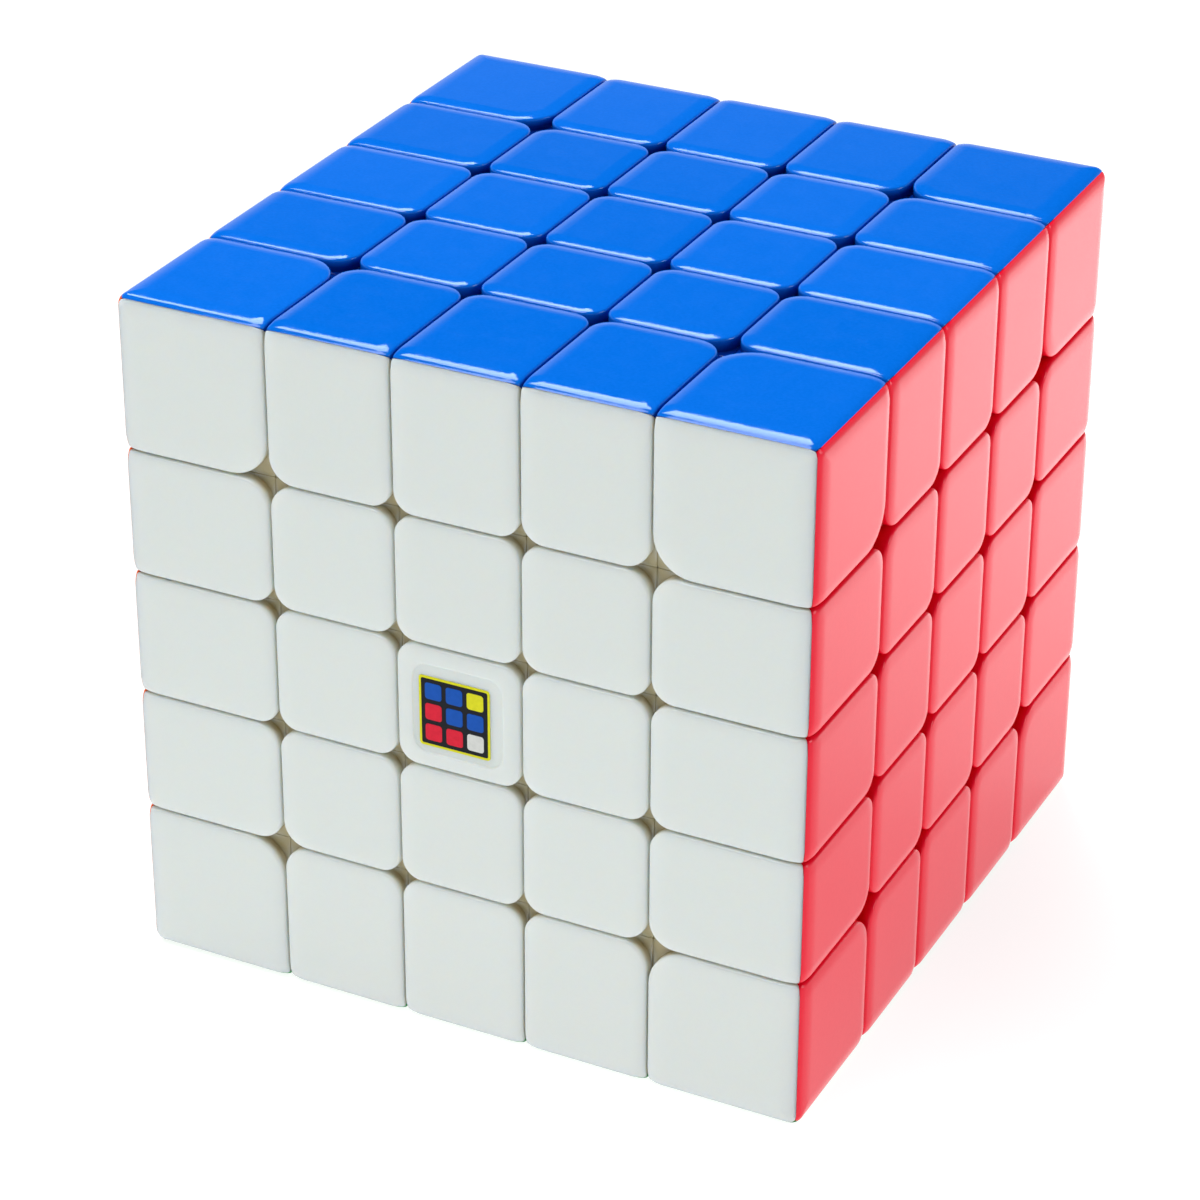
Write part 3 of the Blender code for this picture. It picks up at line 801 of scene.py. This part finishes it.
# ------------------------------------------------------------- front badge
def plain(name, colour, rough, specular=0.5, coat=0.0):
    """Printed ink: a fine halftone-like unevenness in tone and gloss."""
    mat = bpy.data.materials.new(name)
    mat.use_nodes = True
    t = mat.node_tree
    bsdf = t.nodes["Principled BSDF"]
    bsdf.inputs["Specular IOR Level"].default_value = specular
    bsdf.inputs["Coat Weight"].default_value = coat
    bsdf.inputs["Coat Roughness"].default_value = 0.15
    coord = add(t, "ShaderNodeTexCoord")
    noise = add(t, "ShaderNodeTexNoise")
    noise.inputs["Scale"].default_value = 2600.0
    noise.inputs["Detail"].default_value = 3.0
    t.links.new(coord.outputs["Object"], noise.inputs["Vector"])
    mix = add(t, "ShaderNodeMix", data_type="RGBA")
    mix.inputs[6].default_value = tuple(c * 0.86 for c in colour) + (1.0,)
    mix.inputs[7].default_value = tuple(min(1.0, c * 1.12 + 0.006) for c in colour) + (1.0,)
    t.links.new(noise.outputs["Fac"], mix.inputs[0])
    t.links.new(mix.outputs[2], bsdf.inputs["Base Color"])
    gloss = add(t, "ShaderNodeMapRange")
    gloss.inputs["To Min"].default_value = rough - 0.05
    gloss.inputs["To Max"].default_value = rough + 0.08
    t.links.new(noise.outputs["Fac"], gloss.inputs["Value"])
    t.links.new(gloss.outputs["Result"], bsdf.inputs["Roughness"])
    bump = add(t, "ShaderNodeBump")
    bump.inputs["Strength"].default_value = 0.12
    bump.inputs["Distance"].default_value = 0.00003
    t.links.new(noise.outputs["Fac"], bump.inputs["Height"])
    t.links.new(bump.outputs["Normal"], bsdf.inputs["Normal"])
    return mat


INK = {
    "yellow": plain("ink_yellow", (0.780, 0.760, 0.010), 0.40, 0.15),
    "black": plain("ink_black", (0.006, 0.007, 0.012), 0.40, 0.12),
    "blue": plain("ink_blue", (0.002, 0.090, 0.480), 0.40, 0.12),
    "red": plain("ink_red", (0.760, 0.012, 0.040), 0.40, 0.12),
    "white": plain("ink_white", (0.720, 0.730, 0.700), 0.40, 0.15),
}


def tile(name, middle, half, radius, low, high, ink):
    """A thin rounded plate on the front face; low and high are depths."""
    edge = min(0.03, (low - high) * 0.5)
    rings = []
    for inset, h in ((edge + 0.03, high), (edge, high), (edge * 0.3, high + edge * 0.4),
                     (0.0, high + edge), (0.0, low)):
        pts = plate((half[0] - inset, half[1] - inset), max(radius - inset, 0.02))
        rings.append([(u + middle[0], v + middle[1], h) for u, v in pts])
    verts = [p for ring in rings for p in to_world("front", ring)]
    ob = make_object(name, verts, skin(rings), INK[ink], sharp=50.0)
    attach(ob, "cap_front")
    return ob


# a plain patchwork square: three by three tiles in colours of the cube
B, DROP, ASIDE = 3.25, -0.25, -0.30
tile("badge_border", (ASIDE, DROP), (B, B), 0.30, 0.1475, 0.112, "yellow")
tile("badge_ground", (ASIDE, DROP), (B - 0.22, B - 0.22), 0.16, 0.1115, 0.092, "black")
PATCH = ["bby",
         "rbb",
         "rrw"]
INK_OF = {"b": "blue", "y": "yellow", "w": "white", "r": "red"}
pitch = 2.0 * (B - 0.22 - 0.16) / 3.0
for row in range(3):
    for col in range(3):
        tile("badge_tile_%d_%d" % (row + 1, col + 1), ((col - 1) * pitch + ASIDE, (1 - row) * pitch + DROP),
             (pitch / 2 - 0.20, pitch / 2 - 0.20), 0.26, 0.0915, 0.070, INK_OF[PATCH[row][col]])


# ------------------------------------------------------------- metal inside
def metal(name, colour, rough, lines=0.0):
    """Plated steel: fine turning lines, small stains and varied gloss."""
    mat = bpy.data.materials.new(name)
    mat.use_nodes = True
    t = mat.node_tree
    bsdf = t.nodes["Principled BSDF"]
    bsdf.inputs["Metallic"].default_value = 1.0
    coord = add(t, "ShaderNodeTexCoord")
    noise = add(t, "ShaderNodeTexNoise")
    noise.inputs["Scale"].default_value = 900.0
    noise.inputs["Detail"].default_value = 5.0
    t.links.new(coord.outputs["Object"], noise.inputs["Vector"])
    mix = add(t, "ShaderNodeMix", data_type="RGBA")
    mix.inputs[6].default_value = tuple(c * 0.78 for c in colour) + (1.0,)
    mix.inputs[7].default_value = tuple(min(1.0, c * 1.1) for c in colour) + (1.0,)
    t.links.new(noise.outputs["Fac"], mix.inputs[0])
    t.links.new(mix.outputs[2], bsdf.inputs["Base Color"])
    gloss = add(t, "ShaderNodeMapRange")
    gloss.inputs["To Min"].default_value = rough - 0.08
    gloss.inputs["To Max"].default_value = rough + 0.14
    t.links.new(noise.outputs["Fac"], gloss.inputs["Value"])
    t.links.new(gloss.outputs["Result"], bsdf.inputs["Roughness"])
    bump = add(t, "ShaderNodeBump")
    bump.inputs["Strength"].default_value = 0.15
    bump.inputs["Distance"].default_value = 0.00002
    t.links.new(noise.outputs["Fac"], bump.inputs["Height"])
    t.links.new(bump.outputs["Normal"], bsdf.inputs["Normal"])
    return mat


STEEL = metal("screw_steel", (0.62, 0.61, 0.60), 0.28)
SPRING = metal("spring_steel", (0.52, 0.52, 0.54), 0.22)


def screw_mesh():
    """Cross-head screw: rolled thread in the core, plain neck, domed head."""
    segs, verts, rings = 36, [], []
    rows = []
    z = 3.0
    while z < 9.6:
        rows.append((z, "thread"))
        z += 0.13
    rows += [(9.8, 1.10), (21.95, 1.10), (22.0, 1.3), (22.02, 2.45), (22.12, 2.58), (22.7, 2.60),
             (23.15, 2.45), (23.5, 2.1), (23.72, 1.5), (23.8, 0.75)]
    for z, r in rows:
        ring = []
        for i in range(segs):
            a = 2 * math.pi * i / segs
            if r == "thread":
                phase = (z / 0.8 - i / segs) % 1.0
                tri = 1.0 - abs(2 * phase - 1.0)
                fade = min(1.0, (z - 3.0) / 0.9 + 0.35)
                rad = (0.88 + 0.32 * tri) * fade
            else:
                rad = r
            ring.append((rad * math.cos(a), rad * math.sin(a), z))
        rings.append(ring)
    verts = [p for ring in rings for p in ring]
    n = segs
    faces = [tuple(reversed(range(n)))]
    for k in range(len(rings) - 1):
        a, b = k * n, (k + 1) * n
        faces += [(a + i, a + (i + 1) % n, b + (i + 1) % n, b + i) for i in range(n)]
    faces.append(tuple((len(rings) - 1) * n + i for i in range(n)))
    me = mesh_of("screw", verts, faces)
    steps = []
    for turn_ in (0.0, 90.0):
        # each arm of the cross narrows towards its floor
        v = []
        for z, hx, hy in ((22.55, 0.55, 0.16), (24.5, 2.05, 0.36)):
            v += [(-hx, -hy, z), (hx, -hy, z), (hx, hy, z), (-hx, hy, z)]
        f = [(3, 2, 1, 0), (4, 5, 6, 7), (0, 1, 5, 4), (1, 2, 6, 5), (2, 3, 7, 6), (3, 0, 4, 7)]
        arm = mesh_of("arm", v, f)
        arm.transform(Matrix.Rotation(math.radians(turn_ + 20.0), 4, 'Z'))
        steps.append(('DIFFERENCE', arm))
    return boolean(me, steps, "screw", dissolve=False)


def spring_mesh():
    """Wound wire with closed, flattened ends."""
    wire, radius, z0, z1, coils = 0.27, 2.08, 14.32, 21.70, 6.5
    steps, sides = int(coils * 28), 8
    z0, z1 = z0 + wire, z1 - wire
    rings = []
    for k in range(steps + 1):
        f = k / steps
        turns = f * coils
        # the first and last coil lie flat, the rest climb evenly
        climb = min(max((turns - 0.9) / (coils - 1.8), 0.0), 1.0)
        z = z0 + 2 * wire * min(turns, 0.9) * 0.9
        z_end = z1 - 2 * wire * 0.9 * 0.9
        start = z0 + 2 * wire * 0.9 * 0.9
        if turns > 0.9:
            z = start + (z_end - start) * climb
        if turns > coils - 0.9:
            z = z_end + 2 * wire * (turns - (coils - 0.9)) * 0.9
        a = 2 * math.pi * turns
        c = Vector((radius * math.cos(a), radius * math.sin(a), z))
        out = Vector((math.cos(a), math.sin(a), 0))
        up = Vector((0, 0, 1))
        rings.append([c + (out * math.cos(2 * math.pi * s / sides)
                           + up * math.sin(2 * math.pi * s / sides)) * wire for s in range(sides)])
    verts = [p for ring in rings for p in ring]
    n = sides
    faces = [tuple(range(n))]
    for k in range(len(rings) - 1):
        a, b = k * n, (k + 1) * n
        faces += [(a + i, b + i, b + (i + 1) % n, a + (i + 1) % n) for i in range(n)]
    faces.append(tuple((len(rings) - 1) * n + i for i in reversed(range(n))))
    return mesh_of("spring", verts, faces)


SCREW_ME, SPRING_ME = screw_mesh(), spring_mesh()
for face, (w, u, v) in FACES.items():
    basis = Matrix((Vector(u), Vector(v), Vector(w))).transposed().to_4x4()
    for part, source, mat in (("screw", SCREW_ME, STEEL), ("spring", SPRING_ME, SPRING)):
        me = source.copy()
        me.transform(basis)
        me.transform(Matrix.Scale(MM, 4))
        me.materials.append(mat)
        me.shade_smooth()
        me.set_sharp_from_angle(angle=math.radians(40.0))
        ob = bpy.data.objects.new("%s_%s_piece" % (part, face), me)
        ob.location = CENTRE
        collection.objects.link(ob)
        finish_piece(ob, "middle_layer", ["screw_" + face])


def core_mesh():
    rings = []
    segs = 48
    p = [(0.0, -8.6)]
    for k in range(1, 24):
        a = -math.pi / 2 + math.pi * k / 24
        p.append((8.6 * math.cos(a), 8.6 * math.sin(a)))
    p.append((0.0, 8.6))
    ball = turned(p, segs)
    steps = []
    for axis in "zxy":
        boss = turned([(0, -9.3), (3.1, -9.3), (3.4, -9.0), (3.4, 9.0), (3.1, 9.3), (0, 9.3)], 32)
        boss.transform(TO_AXIS[axis])
        steps.append(('UNION', boss))
    for axis in "zxy":
        for side in (-1, 1):
            a, b = sorted((side * 2.6, side * 10.3))
            hole = turned([(0, a), (1.5, a), (1.5, b), (0, b)], 20)
            hole.transform(TO_AXIS[axis])
            steps.append(('DIFFERENCE', hole))
    return boolean(ball, steps, "core", dissolve=False)


me = core_mesh()
me.transform(Matrix.Scale(MM, 4))
me.materials.append(MATS["inner"])
me.shade_smooth()
me.set_sharp_from_angle(angle=math.radians(35.0))
core = bpy.data.objects.new("core_ball", me)
core.location = CENTRE
collection.objects.link(core)
finish_piece(core, "middle_layer", ["core"])

# ------------------------------------------------------------- floor
bpy.ops.mesh.primitive_plane_add(size=6.0, location=(0.0, 0.0, -0.00002))
floor = bpy.context.active_object
floor.name = "floor"
fmat = bpy.data.materials.new("floor_painted_glow")
fmat.use_nodes = True
ft = fmat.node_tree
fb = ft.nodes["Principled BSDF"]
fb.inputs["Base Color"].default_value = (0.24, 0.24, 0.24, 1.0)
fb.inputs["Roughness"].default_value = 0.9
fb.inputs["Specular IOR Level"].default_value = 0.1
fb.inputs["Emission Color"].default_value = (1.0, 1.0, 1.0, 1.0)
# painted light: the floor glows, most behind the cube on its right
fco = add(ft, "ShaderNodeTexCoord")
fsub = add(ft, "ShaderNodeVectorMath", operation="SUBTRACT")
fsub.inputs[1].default_value = (0.12, 0.14, 0.0)
flen = add(ft, "ShaderNodeVectorMath", operation="LENGTH")
fmap = add(ft, "ShaderNodeMapRange", interpolation_type="SMOOTHSTEP")
fmap.inputs["From Min"].default_value = 0.03
fmap.inputs["From Max"].default_value = 0.17
fmap.inputs["To Min"].default_value = 2.05
fmap.inputs["To Max"].default_value = 0.80
ft.links.new(fco.outputs["Object"], fsub.inputs[0])
ft.links.new(fsub.outputs["Vector"], flen.inputs[0])
ft.links.new(flen.outputs["Value"], fmap.inputs["Value"])
# painted light: the floor also glows a little in front of it
gsub = add(ft, "ShaderNodeVectorMath", operation="SUBTRACT")
gsub.inputs[1].default_value = (0.02, -0.08, 0.0)
glen = add(ft, "ShaderNodeVectorMath", operation="LENGTH")
gmap = add(ft, "ShaderNodeMapRange", interpolation_type="SMOOTHSTEP")
gmap.inputs["From Min"].default_value = 0.03
gmap.inputs["From Max"].default_value = 0.11
gmap.inputs["To Min"].default_value = 0.20
gmap.inputs["To Max"].default_value = 0.0
fsum = add(ft, "ShaderNodeMath", operation="ADD")
ft.links.new(fco.outputs["Object"], gsub.inputs[0])
ft.links.new(gsub.outputs["Vector"], glen.inputs[0])
ft.links.new(glen.outputs["Value"], gmap.inputs["Value"])
ft.links.new(fmap.outputs["Result"], fsum.inputs[0])
ft.links.new(gmap.outputs["Result"], fsum.inputs[1])
ft.links.new(fsum.outputs["Value"], fb.inputs["Emission Strength"])
floor.data.materials.append(fmat)

# ------------------------------------------------------------- light
world = bpy.data.worlds.new("studio")
scene.world = world
world.use_nodes = True
wt = world.node_tree
wt.nodes.clear()
wout = add(wt, "ShaderNodeOutputWorld")
wbg = add(wt, "ShaderNodeBackground")
wco = add(wt, "ShaderNodeTexCoord")
wsep = add(wt, "ShaderNodeSeparateXYZ")
wramp = add(wt, "ShaderNodeValToRGB")
wt.links.new(wco.outputs["Generated"], wsep.inputs["Vector"])
wt.links.new(wsep.outputs["Z"], wramp.inputs["Fac"])
wt.links.new(wramp.outputs["Color"], wbg.inputs["Color"])
wt.links.new(wbg.outputs["Background"], wout.inputs["Surface"])
ramp = wramp.color_ramp
# white surroundings low down, dark above: level, brightness of the sky there
SKY = [(0.0, 1.0), (0.16, 0.95), (0.25, 0.60), (0.345, 0.25), (0.375, 0.08), (0.40, 0.008),
       (1.0, 0.004)]
ramp.elements[0].position, ramp.elements[1].position = SKY[0][0], SKY[-1][0]
for k, (level, bright) in enumerate(SKY):
    e = ramp.elements[0] if k == 0 else (ramp.elements[-1] if k == len(SKY) - 1 else ramp.elements.new(level))
    e.color = (bright, bright, bright, 1.0)
wbg.inputs["Strength"].default_value = 0.64


def softbox(name, direction, distance, size, power, size_y=None, colour=(1, 1, 1)):
    """A rectangular light looking at the cube's centre from a direction."""
    data = bpy.data.lights.new(name, 'AREA')
    data.shape = 'RECTANGLE'
    data.size = size
    data.size_y = size_y or size
    data.energy = power
    data.color = colour
    ob = bpy.data.objects.new(name, data)
    d = Vector(direction).normalized()
    ob.location = CENTRE + d * distance
    ob.rotation_mode = 'QUATERNION'
    ob.rotation_quaternion = d.to_track_quat('Z', 'Y')
    collection.objects.link(ob)
    return ob


softbox("overhead", (-0.33, 0.30, 0.89), 0.90, 0.48, 8.0, colour=(0.84, 1.0, 1.0))
softbox("front_top", (-0.22, -0.36, 0.91), 0.90, 0.45, 4.8)
softbox("side", (0.93, 0.15, 0.33), 1.20, 0.50, 3.5)

# ------------------------------------------------------------- camera
AZ, EL, ROLL = math.radians(26.528), math.radians(28.600), math.radians(0.173)
DIST, TX, TY, FOCAL = 338.996, -2.356, -3.850, 3904.977
back = Vector((math.sin(AZ) * math.cos(EL), -math.cos(AZ) * math.cos(EL), math.sin(EL)))
right = Vector((math.cos(AZ), math.sin(AZ), 0.0))
up = back.cross(right)
r2 = right * math.cos(ROLL) + up * math.sin(ROLL)
u2 = -right * math.sin(ROLL) + up * math.cos(ROLL)
cam_data = bpy.data.cameras.new("camera")
cam_data.sensor_width = 36.0
cam_data.lens = FOCAL / 1200.0 * 36.0
cam_data.clip_start, cam_data.clip_end = 0.01, 20.0
cam = bpy.data.objects.new("camera", cam_data)
collection.objects.link(cam)
place = CENTRE + (back * DIST + right * TX + up * TY) * MM
cam.matrix_world = Matrix.Translation(place) @ Matrix((r2, u2, back)).transposed().to_4x4()
scene.camera = cam
scene.view_settings.view_transform = 'Standard'
